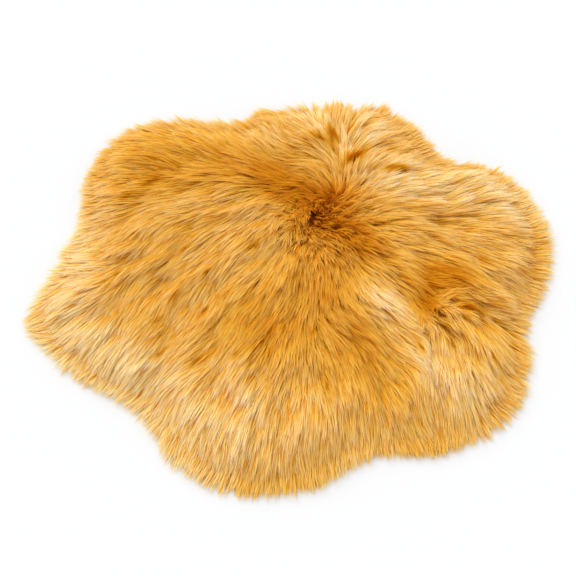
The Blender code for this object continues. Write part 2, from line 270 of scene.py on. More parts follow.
# The surface that the fur grows on
BEARINGS, RINGS = 240, 58
RING_POWER = 0.92  # under 1, so that the rings stand closer together at the rim
GROUND_THICKNESS = 0.0025
UNDERFUR_LOW = 0.003  # least height of the underfur
UNDERFUR_EDGE, UNDERFUR_FOOT = 0.075, 0.10  # width of its round edge, and its height at the foot
SLOPE_STEP = 0.022  # how far ahead the surface's slope is read
SLOPE_RANGE = (-0.65, 0.12)
OUTSIDE = 0.001  # height taken for the surface outside its edge
RAY_START = 0.5  # a height above everything

# The strands. A pair is the least and the most that a lock or a strand differs
SEGMENTS = 4
SMALL = 0.001  # less than a segment, as a share of the strand
MOST_LOCKS = 60000.0  # a square metre
FIRST_SEED = 10
LOCK_TURN, STRAND_TURN, CURL_TURN = (-0.07, 0.07), (-0.035, 0.035), (-1.3, 1.3)
LOCK_LIFT, STRAND_LIFT = (-0.06, 0.05), (-0.035, 0.025)
LOCK_LENGTH, STRAND_LENGTH = (0.87, 1.0), (0.70, 1.0)
LOCK_SWING = (2.5, 4.5)  # radians of its wave from root to tip
STRAND_ROLL = (-0.6, 0.6)
LOCK_TONE, STRAND_TONE = (-0.07, 0.07), (-0.09, 0.09)
LOOSE_POWER, LOOSE_MOST = 4.0, 0.9  # how rare loose strands are, and how loose
LOOSE_TURN, CURLED_TURN, CURLED_WAVE = 3.0, 9.0, 2.5  # how much more such strands turn and wave
GATHER_POWER = 0.8  # under 1, so that a lock closes early
OWN_SWING, OWN_WAVE, OWN_BOB = 4.0, 0.2, 0.25  # a strand's own wave: length, sideways, up and down
TAPER, TAPER_POWER = 0.55, 2.0
ROOT_DEPTH = 0.003  # how far a root starts below the surface
FLOOR_CLEARANCE, FLOOR_SPREAD, FLOOR_BLEND = 0.0012, 0.010, 0.008  # where strands rest on the floor

# Colours of the cloth and the underfur, dark and pale, and the sizes of their grain
# The cloth's dark colour is its grain, and in the knit also painted shade between the loops
GROUND_COLOURS = (0.60, 0.48, 0.28), (0.82, 0.71, 0.48)
# The underfur is the fibre's own orange, made darker and deeper than the strands as painted shade
# deep in the pile
UNDERFUR_COLOURS = (0.52, 0.15, 0.005), (0.70, 0.24, 0.010)
STITCH = 0.0022
STITCH_GRAIN, STITCH_RELIEF = 0.6, 0.2  # in stitches
STITCH_WARP, STITCH_WARP_SCALE = 1.2, 2.0
WAVE_PERIOD = 0.314  # breadth of a wave texture's band at a scale of 1
UNDERFUR_GRAIN, UNDERFUR_RELIEF = 0.004, 0.001
GRAIN_DETAIL, GRAIN_RANGE = 3.0, (0.3, 0.7)
CLOTH_ROUGHNESS, FLOOR_ROUGHNESS = 0.9, 0.8

# The stage
FLOOR_REACH = 9
SUN_SPREAD = math.radians(42)
SUN_FROM = Vector((-0.50, 0.85, 0.80))
AIM = Vector((-0.0092, -0.0158))
ELEVATION = math.radians(54)


def number(name, description, default, **kind):
    return bpy.props.FloatProperty(name=name, description=description, default=default, **kind)


def colour(name, default):
    return bpy.props.FloatVectorProperty(
        name=name, description="Colour of the " + name.lower(), default=default, subtype="COLOR"
    )


class RUG_PG_fur(bpy.types.PropertyGroup):
    """Sizes and colours of the pile."""

    strand_length: number("Strand length", "Length of the longest strands", 0.074, unit="LENGTH")
    strand_width: number("Strand width", "Width of a strand near its root", 0.0015, unit="LENGTH")
    lock_spacing: number("Lock spacing", "Least distance between two locks", 0.0058, unit="LENGTH")
    lock_radius: number("Lock radius", "From its middle to its outer roots", 0.0070, unit="LENGTH")
    strands: bpy.props.IntProperty(
        name="Strands", description="Strands in each lock", default=13, subtype="UNSIGNED"
    )
    gather: number("Gather", "How closely a lock's strands meet at its tip", 0.58, subtype="FACTOR")
    wave: number("Wave", "How far a lock swings from side to side", 0.0014, unit="LENGTH")
    rise: number("Rise", "How much steeper a strand starts than it lies", 0.26, unit="ROTATION")
    droop: number("Droop", "How much flatter a strand ends than it lies", 0.30, unit="ROTATION")
    fringe: number("Fringe", "From the edge of the ground cloth to the tips", 0.052, unit="LENGTH")
    pile_drop: number("Pile drop", "From the fur's top down to the underfur", 0.014, unit="LENGTH")
    # Down a strand the colours darken towards the root and the deepest fur: painted shade in the
    # pile
    deep_shade: colour("Deepest fur", (0.52, 0.14, 0.002))
    root_dark: colour("Root of dark fur", (0.78, 0.29, 0.006))
    root_gold: colour("Root of gold fur", (0.89, 0.445, 0.016))
    root_pale: colour("Root of pale fur", (0.955, 0.55, 0.06))
    middle_dark: colour("Middle of dark fur", (0.855, 0.415, 0.018))
    middle_gold: colour("Middle of gold fur", (0.95, 0.628, 0.080))
    middle_pale: colour("Middle of pale fur", (1.0, 0.82, 0.30))
    tip_dark: colour("Tip of dark fur", (0.86, 0.44, 0.04))
    tip_gold: colour("Tip of gold fur", (0.96, 0.71, 0.175))
    tip_pale: colour("Tip of pale fur", (1.0, 0.93, 0.78))


class RUG_PG_stage(bpy.types.PropertyGroup):
    """Light, floor and camera."""

    floor_colour: colour("Floor", (0.727, 0.733, 0.744))
    sky: number("Sky", "Strength of the light from all round", 1.03, subtype="UNSIGNED")
    key: number("Key light", "Strength of the soft light from above", 1.72, subtype="UNSIGNED")
    camera_elevation: number("Elevation", "Angle above the floor", ELEVATION, unit="ROTATION")
    camera_distance: number("Camera distance", "From the point it aims at", 2.41, unit="LENGTH")
    lens: number("Lens", "Focal length", 87.5, unit="CAMERA")


def smooth(part):
    """An even rise from 0 to 1 without corners at its ends."""
    part = np.clip(part, 0, 1)
    return part * part * (3 - 2 * part)


def reach_at(bearing):
    """How far the fur's tips reach at these bearings in radians, through the rim's rows."""
    known = np.radians([row.bearing_deg for row in RIM])
    reach = np.array([row.reach for row in RIM])
    wrapped = np.concatenate([known[-2:] - 2 * np.pi, known, known[:3] + 2 * np.pi])
    values = np.concatenate([reach[-2:], reach, reach[:3]])
    bearing = np.mod(bearing, 2 * np.pi)
    after = np.clip(np.searchsorted(wrapped, bearing, side="right"), 2, len(wrapped) - 2)
    x0, x1, x2, x3 = (wrapped[after + k] for k in (-2, -1, 0, 1))
    y0, y1, y2, y3 = (values[after + k] for k in (-2, -1, 0, 1))
    span = x2 - x1
    t = (bearing - x1) / span
    slope_in = (y2 - y0) / (x2 - x0) * span
    slope_out = (y3 - y1) / (x3 - x1) * span
    return (
        (2 * t**3 - 3 * t**2 + 1) * y1
        + (t**3 - 2 * t**2 + t) * slope_in
        + (3 * t**2 - 2 * t**3) * y2
        + (t**3 - t**2) * slope_out
    )


def inside_rim(places, less=0.0):
    """How far inside the rim these places are, or inside a line this much less far out."""
    bearing = np.arctan2(places[:, 1], places[:, 0])
    return reach_at(bearing) - less - np.linalg.norm(places, axis=1)


def polar_places(fringe):
    """Places of the ground cloth, as rings from the rim inwards by bearings by (x, y)."""
    bearing = 2 * np.pi * np.arange(BEARINGS) / BEARINGS
    part = (np.arange(RINGS, 0, -1) / RINGS) ** RING_POWER
    radius = part[:, None] * (reach_at(bearing) - fringe)[None]
    return np.stack([radius * np.cos(bearing), radius * np.sin(bearing)], axis=-1)


def heading_of(lean):
    """Unit vectors of the lie as seen from above."""
    return lean[:, :2] / np.maximum(1e-6, np.linalg.norm(lean[:, :2], axis=1))[:, None]


def turned(lean, turn):
    """The lie turned counter-clockwise by these angles."""
    cos, sin = np.cos(turn), np.sin(turn)
    x, y, z = lean.T
    return np.stack([x * cos - y * sin, x * sin + y * cos, z], axis=-1)


def combed(places):
    """Unit vectors along which the comb's rows lay the fur."""
    rows = np.array(COMB)
    heading, lift = np.radians(rows[:, 2]), np.radians(rows[:, 3] * FLATTENED)
    flat = np.cos(lift)
    known = np.stack([flat * np.cos(heading), flat * np.sin(heading), np.sin(lift)], axis=-1)
    apart = np.linalg.norm(places[:, None] - rows[None, :, :2], axis=-1)
    weight = np.exp(-((apart / COMB_BLUR) ** 2)) + FAR_SHARE * np.exp(-((apart / FAR_BLUR) ** 2))
    lean = weight @ known / weight.sum(axis=1)[:, None]
    return lean / np.linalg.norm(lean, axis=1)[:, None]


def lean_of(places):
    """Unit vectors along which the fur lies, with its partings, its whorls and its drift."""
    lean = combed(places)
    for row in PARTINGS:
        start = np.array([row.x1, row.y1])
        line = np.array([row.x2, row.y2]) - start
        reach = np.linalg.norm(line)
        along = (places - start) @ line / reach
        across = (places - start) @ np.array([-line[1], line[0]]) / reach
        past = np.maximum(0, np.maximum(-along, along - reach))
        near = np.exp(-((across / (PARTING_FADE * row.width)) ** 2) - (past / row.width) ** 2)
        edge = np.tanh(across / (PARTING_EDGE * row.width))
        lean = turned(lean, np.radians(row.spread_deg) * near * edge)
    curl = curl_of(places)[:, None]
    most = max(row.lift_deg for row in WHORLS)
    upright = np.array([0.0, 0.0, math.sin(math.radians(most))])
    lean = lean * (1 - CURL_LOSS * curl) + CURL_RISE * upright * curl
    lean /= np.linalg.norm(lean, axis=1)[:, None]
    spots = [Vector((x / DRIFT_SIZE, y / DRIFT_SIZE, DRIFT_SLICE)) for x, y in places]
    return turned(lean, np.array([noise.noise(spot) for spot in spots]) * DRIFT)


def curl_of(places):
    """From 0 to 1 at the middle of a whorl, where the fur stands up and curls."""
    total = np.zeros(len(places))
    for row in WHORLS:
        away = np.linalg.norm(places - np.array([row.x, row.y]), axis=1)
        curl = np.exp(-((away / row.radius) ** 2)) * row.lift_deg / FULL_CURL
        total = np.maximum(total, curl)
    return total


def off_middle(places, row):
    """How far places are from an oval row's middle, along and across it, in its own half sizes."""
    heading = math.radians(row.heading_deg)
    cos, sin = math.cos(heading), math.sin(heading)
    away = places - np.array([row.x, row.y])
    return away @ np.array([cos, sin]) / row.along, away @ np.array([-sin, cos]) / row.across


def hollow_at(places, least=0.0):
    """From 0 to 1 in the hollows of this width or more, where the fur parts down to its roots."""
    total = np.zeros(len(places))
    for row in [row for row in HOLLOWS if row.across >= least]:
        along, across = off_middle(places, row)
        total = np.maximum(total, np.exp(-((along**2 + across**2) ** 2)))
    return total


def shade_at(places):
    """The fur's shade where it lies, from dark at 0 to pale at 1, before what each strand adds,
    with the patches' painted light and shade.
    """
    rim = RIM_PALER * (1 - smooth(inside_rim(places) / RIM_BAND))
    total = np.zeros(len(places))
    for row in SHADES:
        along, across = off_middle(places, row)
        total += row.shade * np.exp(-(along**2) - across**2)
    return BASE_SHADE + rim + total


def streaks(places, lean, kind):
    """Noise drawn out along the fur's lie."""
    heading = heading_of(lean)
    total = np.zeros(len(places))
    for k in range(-kind.count, kind.count + 1):
        spots = (places + heading * (k * kind.step)) / kind.size
        total += [noise.noise(Vector((x, y, kind.slice))) for x, y in spots]
    return kind.most * (total / math.sqrt(2 * kind.count + 1))


def top_at(tree, x, y, missing):
    """Height of the topmost face above a place, or this value where there is none."""
    hit = tree.ray_cast(Vector((x, y, RAY_START)), Vector((0, 0, -1)))[0]
    return hit.z if hit else missing


def solid_heights(places):
    """Top of the solid above these places."""
    solid = bpy.data.objects["fur_rug"]
    corners = [solid.matrix_world @ v.co for v in solid.data.vertices]
    tree = BVHTree.FromPolygons(corners, [tuple(p.vertices) for p in solid.data.polygons])
    return np.array([top_at(tree, x + SHIFT.x, y + SHIFT.y, 0.0) for x, y in places])


def underfur_surface(settings):
    """Places and heights of the dense underfur, its lie, and how far inside its edge they are."""
    rings = polar_places(settings.fringe)
    places = np.concatenate([rings.reshape(-1, 2), [[0.0, 0.0]]])
    lean = lean_of(places)
    inside = inside_rim(places, settings.fringe)
    rounded = np.sqrt(1 - (1 - np.clip(inside / UNDERFUR_EDGE, 0, 1)) ** 2)
    low = GROUND_THICKNESS + UNDERFUR_LOW
    fine = streaks(places, lean, UNDERFUR_STREAKS)
    top = solid_heights(places) - settings.pile_drop + fine * rounded
    swell = UNDERFUR_FOOT + (1 - UNDERFUR_FOOT) * rounded
    return places, low + np.maximum(0.0, top - low) * swell, lean, inside


def polar_mesh(name, columns, places, heights, floor=None):
    """A surface over a range of bearings. With a floor height, a closed body over all of them."""
    whole = len(columns) == BEARINGS
    steps = len(columns) if whole else len(columns) - 1
    used = [ring * BEARINGS + column for ring in range(RINGS) for column in columns]
    used.append(RINGS * BEARINGS)
    points = [(places[i, 0] + SHIFT.x, places[i, 1] + SHIFT.y, heights[i]) for i in used]
    width, centre = len(columns), RINGS * len(columns)
    faces = []
    for ring in range(RINGS - 1):
        for k in range(steps):
            a, b = ring * width + k, ring * width + (k + 1) % width
            faces.append((a, b, b + width, a + width))
    last = (RINGS - 1) * width
    faces += [(last + k, last + (k + 1) % width, centre) for k in range(steps)]
    if floor is not None:
        start = len(points)
        points += [(points[k][0], points[k][1], floor) for k in range(width)]
        points.append((points[centre][0], points[centre][1], floor))
        for k in range(width):
            following = (k + 1) % width
            faces.append((k, start + k, start + following, following))
            faces.append((start + following, start + k, start + width))
    mesh = bpy.data.meshes.new(name)
    mesh.from_pydata(points, [], faces)
    mesh.update()
    return mesh, used


def add_values(mesh, name, values):
    """Gives a mesh a value or a vector for each point."""
    vector = values.ndim == 2
    attribute = mesh.attributes.new(name, "FLOAT_VECTOR" if vector else "FLOAT", "POINT")
    data = np.asarray(values, np.float32).ravel()
    attribute.data.foreach_set("vector" if vector else "value", data)


def add_piece(name, mesh):
    """Puts a mesh into the scene at the origin."""
    piece = bpy.data.objects.new(name, mesh)
    bpy.context.scene.collection.objects.link(piece)
    return piece


def surface_lift(places, heights, lean):
    """The surface's slope along the fur's lie, in radians, read a step ahead."""
    points = [Vector((x, y, z)) for (x, y), z in zip(places, heights)]
    faces = []
    for ring in range(RINGS - 1):
        for k in range(BEARINGS):
            a, b = ring * BEARINGS + k, ring * BEARINGS + (k + 1) % BEARINGS
            faces.append((a, b, b + BEARINGS, a + BEARINGS))
    tree = BVHTree.FromPolygons(points, faces)
    slope = np.zeros(len(places))
    for i, (place, way) in enumerate(zip(places, heading_of(lean))):
        ahead = place + way * SLOPE_STEP
        slope[i] = math.atan2(top_at(tree, *ahead, OUTSIDE) - heights[i], SLOPE_STEP)
    return np.clip(slope, *SLOPE_RANGE)


class Nodes:
    """Adds nodes to a tree, one node a call."""

    def __init__(self, tree):
        self.tree = tree

    def link(self, socket, target):
        self.tree.links.new(socket, target)

    def node(self, kind, inputs=(), **settings):
        node = self.tree.nodes.new(kind)
        for name, value in settings.items():
            setattr(node, name, value)
        for key, value in inputs:
            if isinstance(value, bpy.types.NodeSocket):
                self.link(value, node.inputs[key])
            else:
                node.inputs[key].default_value = value
        return node

    def math(self, operation, *values):
        return self.node("ShaderNodeMath", enumerate(values), operation=operation).outputs[0]

    def chain(self, operation, values):
        total = values[0]
        for value in values[1:]:
            total = self.math(operation, total, value)
        return total

    def add(self, *values):
        return self.chain("ADD", values)

    def times(self, *values):
        return self.chain("MULTIPLY", values)

    def less(self, part):
        return self.math("SUBTRACT", 1.0, part)

    def between(self, low, high, part):
        inputs = (("Value", part), ("To Min", low), ("To Max", high))
        return self.node("ShaderNodeMapRange", inputs).outputs[0]

    def mixed(self, part, first, second):
        inputs = (("Factor", part), ("A", first), ("B", second))
        return self.node("ShaderNodeMix", inputs, data_type="RGBA").outputs["Result"]

    def sum(self, *vectors):
        total = vectors[0]
        for vector in vectors[1:]:
            inputs = ((0, total), (1, vector))
            total = self.node("ShaderNodeVectorMath", inputs, operation="ADD").outputs[0]
        return total

    def scaled(self, vector, scale):
        inputs = ((0, vector), ("Scale", scale))
        return self.node("ShaderNodeVectorMath", inputs, operation="SCALE").outputs[0]

    def split(self, vector):
        return self.node("ShaderNodeSeparateXYZ", ((0, vector),)).outputs

    def join(self, x, y, z):
        return self.node("ShaderNodeCombineXYZ", ((0, x), (1, y), (2, z))).outputs[0]

    def named(self, name, kind="FLOAT"):
        inputs = (("Name", name),)
        return self.node("GeometryNodeInputNamedAttribute", inputs, data_type=kind).outputs[0]

    def three(self, name):
        """The three numbers of a named vector."""
        return self.split(self.named(name, "FLOAT_VECTOR"))

    def randoms(self, seed, further):
        """Three random numbers from 0 to 1 for each element."""
        inputs = (("Seed", self.add(seed, further)),)
        return self.node("FunctionNodeRandomValue", inputs, data_type="FLOAT_VECTOR").outputs[0]

    def store(self, geometry, name, value, kind="FLOAT"):
        inputs = (("Geometry", geometry), ("Name", name), ("Value", value))
        return self.node("GeometryNodeStoreNamedAttribute", inputs, data_type=kind).outputs[0]

    def mix_in(self, geometry, name, seed, further):
        return self.store(geometry, name, self.randoms(seed, further), "FLOAT_VECTOR")


# The tree's inputs and the settings that they come from
FUR_INPUTS = {
    "Lock Spacing": "lock_spacing",
    "Lock Radius": "lock_radius",
    "Strands": "strands",
    "Length": "strand_length",
    "Width": "strand_width",
    "Gather": "gather",
    "Wave": "wave",
    "Rise": "rise",
    "Droop": "droop",
}
HELPERS = ("at_*", "lock_*", "strand_*", "lean", "slope", "growth", "shade", "curl")


def fur_tree():
    """Geometry Nodes that grow locks on a surface with lean, slope, growth, shade and curl."""
    tree = bpy.data.node_groups.new("fur_locks", "GeometryNodeTree")
    sockets = [("Geometry", "INPUT", "Geometry")]
    sockets += [(name, "INPUT", "Int" if name == "Strands" else "Float") for name in FUR_INPUTS]
    sockets += [("Seed", "INPUT", "Int"), ("Material", "INPUT", "Material")]
    sockets += [("Geometry", "OUTPUT", "Geometry")]
    for name, way, kind in sockets:
        tree.interface.new_socket(name, in_out=way, socket_type="NodeSocket" + kind)
    f = Nodes(tree)
    given = tree.nodes.new("NodeGroupInput").outputs
    inputs = (("Points", strand_roots(f, given)), ("Instance", strand_strip(f)))
    placed = f.node("GeometryNodeInstanceOnPoints", inputs).outputs[0]
    fur = f.node("GeometryNodeRealizeInstances", ((0, placed),)).outputs[0]
    inputs = (("Geometry", fur), ("Position", strand_position(f, given)))
    fur = f.node("GeometryNodeSetPosition", inputs).outputs[0]
    fur = f.store(fur, "tone", strand_tone(f))
    fur = f.store(fur, "depth", strand_depth(f))
    for name in HELPERS:
        inputs = (("Geometry", fur), ("Name", name))
        fur = f.node("GeometryNodeRemoveAttribute", inputs, pattern_mode="WILDCARD").outputs[0]
    fur = f.node("GeometryNodeSetShadeSmooth", (("Geometry", fur),)).outputs[0]
    inputs = (("Geometry", fur), ("Material", given["Material"]))
    dressed = f.node("GeometryNodeSetMaterial", inputs).outputs[0]
    f.node("NodeGroupOutput", ((0, dressed),))
    return tree


def strand_roots(f, given):
    """Points for the strands, each with its lock's middle and numbers and its own."""
    inputs = (
        ("Mesh", given["Geometry"]),
        ("Distance Min", given["Lock Spacing"]),
        ("Density Max", MOST_LOCKS),
        ("Seed", given["Seed"]),
    )
    kind = "GeometryNodeDistributePointsOnFaces"
    locks = f.node(kind, inputs, distribute_method="POISSON").outputs[0]
    middle = f.node("GeometryNodeInputPosition").outputs[0]
    locks = f.store(locks, "at_root", middle, "FLOAT_VECTOR")
    locks = f.mix_in(locks, "lock_mix", given["Seed"], 1)
    locks = f.mix_in(locks, "lock_sway", given["Seed"], 2)
    inputs = (("Geometry", locks), ("Amount", given["Strands"]))
    strands = f.node("GeometryNodeDuplicateElements", inputs, domain="POINT").outputs[0]
    strands = f.mix_in(strands, "strand_mix", given["Seed"], 3)
    strands = f.mix_in(strands, "strand_sway", given["Seed"], 4)
    around, outwards, _ = f.split(f.randoms(given["Seed"], 5))
    around = f.times(around, 2 * math.pi)
    radius = f.times(f.math("SQRT", outwards), given["Lock Radius"])
    x = f.times(radius, f.math("COSINE", around))
    y = f.times(radius, f.math("SINE", around))
    return f.store(strands, "strand_offset", f.join(x, y, 0.0), "FLOAT_VECTOR")


def strand_strip(f):
    """A flat strip that ends in a point, with how far along and to which side each corner is."""
    inputs = (("Size X", 1.0), ("Size Y", 1.0), ("Vertices X", 2), ("Vertices Y", SEGMENTS + 1))
    grid = f.node("GeometryNodeMeshGrid", inputs).outputs[0]
    x, y, _ = f.split(f.node("GeometryNodeInputPosition").outputs[0])
    along = f.add(y, 0.5)
    tip = f.math("GREATER_THAN", along, 1 - SMALL)
    marked = f.store(grid, "along", along)
    marked = f.store(marked, "side", f.times(x, 2.0, f.less(tip)))
    spot = f.join(f.named("side"), f.named("along"), 0.0)
    flat = f.node("GeometryNodeSetPosition", (("Geometry", marked), ("Position", spot))).outputs[0]
    inputs = (("Geometry", flat), ("Distance", SMALL))
    return f.node("GeometryNodeMergeByDistance", inputs).outputs[0]


def strand_position(f, given):
    """Where a strand's corner lies: out from its root on an arc that starts steep and ends flat."""
    along, side, curl = f.named("along"), f.named("side"), f.named("curl")
    lean_x, lean_y, lean_z = f.three("lean")
    lock_turn, lock_grow, lock_phase = f.three("lock_mix")
    lock_lift, lock_swing, _ = f.three("lock_sway")
    own_turn, own_grow, own_phase = f.three("strand_mix")
    own_gather, own_lift, own_roll = f.three("strand_sway")

    loose = f.times(f.math("POWER", own_gather, LOOSE_POWER), LOOSE_MOST)
    wilder = f.add(1.0, f.times(LOOSE_TURN, loose), f.times(CURLED_TURN, curl))
    heading = f.add(
        f.math("ARCTAN2", lean_y, lean_x),
        f.between(*LOCK_TURN, lock_turn),
        f.times(f.between(*STRAND_TURN, own_turn), wilder),
        f.times(f.between(*CURL_TURN, lock_phase), curl),
    )
    lift = f.add(
        f.math("ARCSINE", lean_z),
        f.named("slope"),
        f.between(*LOCK_LIFT, lock_lift),
        f.times(f.between(*STRAND_LIFT, own_lift), f.add(1.0, loose)),
    )
    reach = f.times(
        given["Length"],
        f.named("growth"),
        f.between(*LOCK_LENGTH, lock_grow),
        f.between(*STRAND_LENGTH, own_grow),
    )
    bend = f.add(given["Rise"], given["Droop"])
    start = f.add(lift, given["Rise"])
    now = f.math("SUBTRACT", start, f.times(bend, along))
    radius = f.math("DIVIDE", reach, bend)
    out = f.times(radius, f.math("SUBTRACT", f.math("SINE", start), f.math("SINE", now)))
    up = f.times(radius, f.math("SUBTRACT", f.math("COSINE", now), f.math("COSINE", start)))

    cos, sin = f.math("COSINE", heading), f.math("SINE", heading)
    forward, sideways = f.join(cos, sin, 0.0), f.join(f.times(sin, -1.0), cos, 0.0)
    closing = f.times(given["Gather"], f.less(loose), f.math("POWER", along, GATHER_POWER))
    cycle = f.add(
        f.times(along, f.between(*LOCK_SWING, lock_swing)), f.times(lock_phase, 2 * math.pi)
    )
    own_cycle = f.add(f.times(along, OWN_SWING), f.times(own_phase, 2 * math.pi))
    swing = f.add(f.math("SINE", cycle), f.times(OWN_WAVE, f.math("SINE", own_cycle)))
    sway = f.times(given["Wave"], along, f.add(1.0, f.times(CURLED_WAVE, curl)), swing)
    bob = f.times(given["Wave"], OWN_BOB, along, f.math("COSINE", own_cycle))

    taper = f.less(f.times(TAPER, f.math("POWER", along, TAPER_POWER)))
    half = f.times(0.5, given["Width"], taper, side)
    roll = f.between(*STRAND_ROLL, own_roll)
    aside = f.add(sway, f.times(half, f.math("COSINE", roll)))
    above = f.add(up, bob, f.times(half, f.math("SINE", roll)), -ROOT_DEPTH)
    spot = f.sum(
        f.named("at_root", "FLOAT_VECTOR"),
        f.scaled(f.named("strand_offset", "FLOAT_VECTOR"), f.less(closing)),
        f.scaled(forward, out),
        f.scaled(sideways, aside),
        f.join(0.0, 0.0, above),
    )
    x, y, z = f.split(spot)
    floor = f.add(FLOOR_CLEARANCE, f.times(FLOOR_SPREAD, own_lift, own_lift))
    return f.join(x, y, f.math("SMOOTH_MAX", z, floor, FLOOR_BLEND))


def strand_tone(f):
    """How much paler a strand is than its place, by its streak, its lock and itself."""
    _, _, lock_shade = f.three("lock_sway")
    own_shade, _, _ = f.three("strand_mix")
    lock, own = f.between(*LOCK_TONE, lock_shade), f.between(*STRAND_TONE, own_shade)
    return f.add(f.named("shade"), lock, own)


def strand_depth(f):
    """How far along its strand a place looks: as it is, but nearer the root in the dark strands,
    which paint thin lines of shade.
    """
    own_shade, _, _ = f.three("strand_mix")
    dark = f.math("LESS_THAN", own_shade, SHADE_STRAND_SHARE)
    return f.times(f.named("along"), f.less(f.times(SHADE_STRAND_DEPTH, dark)))


def grow_fur(piece, tree, settings, seed, material):
    """Grows the fur on a piece's surface and leaves the strands alone as its mesh."""
    modifier = piece.modifiers.new("fur", "NODES")
    modifier.node_group = tree
    values = {name: getattr(settings, key) for name, key in FUR_INPUTS.items()}
    values.update({"Seed": seed, "Material": material})
    for item in tree.interface.items_tree:
        if item.in_out == "INPUT" and item.name in values:
            modifier[item.identifier] = values[item.name]
    piece.update_tag()
    graph = bpy.context.evaluated_depsgraph_get()
    grown = bpy.data.meshes.new_from_object(piece.evaluated_get(graph))
    piece.modifiers.clear()
    base = piece.data
    piece.data = grown
    grown.name = piece.name
    bpy.data.meshes.remove(base)


def kept_within(growth, places, lean, strand):
    """The growth, less where tips would pass the rim and a little more where they stay inside."""
    heading = heading_of(lean)
    edge = 1 - smooth((inside_rim(places) - strand) / FIT_BLEND)
    for _ in range(FIT_ROUNDS):
        tips = places + heading * (STRAND_REACH * strand * growth)[:, None]
        past = -inside_rim(tips) - PAST_RIM
        growth = growth - np.clip(past / strand, *FIT_STEP) * edge
        growth = np.clip(growth, LEAST_GROWTH, MOST_GROWTH)
    return growth


def vertex_values(mesh, name):
    """A mesh's values by this name, one for each point."""
    values = np.empty(len(mesh.vertices), np.float32)
    mesh.attributes[name].data.foreach_get("value", values)
    return values


def tint_fur(mesh):
    """Sets each point's tone and depth by where it lies, with painted light and shade, and the map
    that the two make.
    """
    spots = np.empty(3 * len(mesh.vertices), np.float32)
    mesh.vertices.foreach_get("co", spots)
    places = spots.reshape(-1, 3)[:, :2] - np.array([SHIFT.x, SHIFT.y])
    # The tone takes in the patches' painted light and shade
    tone = np.clip(vertex_values(mesh, "tone") + shade_at(places), 0, 1)
    # Painted shade: in hollows and whorls the strands show the darker colours of their roots
    depth = vertex_values(mesh, "depth") * (1 - HOLLOW_SHADE * hollow_at(places))
    depth = depth * (1 - CURL_SHADE * curl_of(places))
    across = 0.5 + UV_TONE * (tone - 0.5) + UV_SIDE * vertex_values(mesh, "side")
    for name, values in (("tone", tone), ("depth", depth)):
        mesh.attributes[name].data.foreach_set("value", values.astype(np.float32))
    corners = np.empty(len(mesh.loops), np.int32)
    mesh.loops.foreach_get("vertex_index", corners)
    spread = np.stack([across, UV_SIDE + UV_DEPTH * depth], axis=-1)[corners]
    uv_map = mesh.uv_layers.new(name=UV_MAP)
    uv_map.data.foreach_set("uv", spread.astype(np.float32).ravel())
    for name in ("side", "along"):
        mesh.attributes.remove(mesh.attributes[name])


def matt_material(name, roughness):
    """A material without gloss, its nodes and its shader."""
    material = bpy.data.materials.new(name)
    material.use_nodes = True
    shader = material.node_tree.nodes["Principled BSDF"]
    shader.inputs["Roughness"].default_value = roughness
    shader.inputs["Specular IOR Level"].default_value = 0.0
    return material, Nodes(material.node_tree), shader


def fur_material(settings):
    """Fur dark at the root as painted shade and pale at the tip, from a dark to a pale kind by the
    strand's tone, which carries painted light and shade as well.
    """
    material, n, shader = matt_material("long_fur", FUR_ROUGHNESS)
    depth = n.node("ShaderNodeAttribute", attribute_name="depth").outputs["Fac"]
    tone = n.node("ShaderNodeAttribute", attribute_name="tone").outputs["Fac"]
    kinds = []
    for kind in ("dark", "gold", "pale"):
        ramp = n.node("ShaderNodeValToRGB", (("Fac", depth),))
        stops = ramp.color_ramp.elements
        stops[0].color = (*settings.deep_shade, 1)
        stops[1].color = (*getattr(settings, f"tip_{kind}"), 1)
        for place, part in FUR_STOPS:
            stops.new(place).color = (*getattr(settings, f"{part}_{kind}"), 1)
        kinds.append(ramp.outputs["Color"])
    fur = kinds[0]
    for paler, kind in enumerate(kinds[1:]):
        inputs = ((0, tone), (1, 2.0), (2, -float(paler)))
        part = n.node("ShaderNodeMath", inputs, operation="MULTIPLY_ADD", use_clamp=True)
        fur = n.mixed(part.outputs[0], fur, kind)
    n.link(fur, shader.inputs["Base Color"])
    deeper = n.node("ShaderNodeGamma", (("Color", fur), ("Gamma", THROUGH_GAMMA))).outputs[0]
    through = n.node("ShaderNodeBsdfTranslucent", (("Color", deeper),)).outputs[0]
    inputs = ((0, THROUGH_SHARE), (1, shader.outputs["BSDF"]), (2, through))
    both = n.node("ShaderNodeMixShader", inputs).outputs[0]
    n.link(both, n.tree.nodes["Material Output"].inputs["Surface"])
    return material


def mottle_group():
    """Shader nodes that mottle a surface between two colours, with the height of its grain."""
    if "mottle" in bpy.data.node_groups:
        return bpy.data.node_groups["mottle"]
    tree = bpy.data.node_groups.new("mottle", "ShaderNodeTree")
    sockets = (
        ("Size", "INPUT", "Float"),
        ("Dark", "INPUT", "Color"),
        ("Pale", "INPUT", "Color"),
        ("Color", "OUTPUT", "Color"),
        ("Height", "OUTPUT", "Float"),
    )
    for name, way, kind in sockets:
        tree.interface.new_socket(name, in_out=way, socket_type="NodeSocket" + kind)
    n = Nodes(tree)
    given = n.node("NodeGroupInput").outputs
    places = n.node("ShaderNodeTexCoord").outputs["Object"]
    scale = n.math("DIVIDE", 1.0, given["Size"])
    inputs = (("Vector", places), ("Scale", scale), ("Detail", GRAIN_DETAIL))
    grain = n.node("ShaderNodeTexNoise", inputs).outputs["Fac"]
    low, high = GRAIN_RANGE
    inputs = (("Value", grain), ("From Min", low), ("From Max", high))
    part = n.node("ShaderNodeMapRange", inputs).outputs[0]
    mottled = n.mixed(part, given["Dark"], given["Pale"])
    n.node("NodeGroupOutput", (("Color", mottled), ("Height", grain)))
    return tree


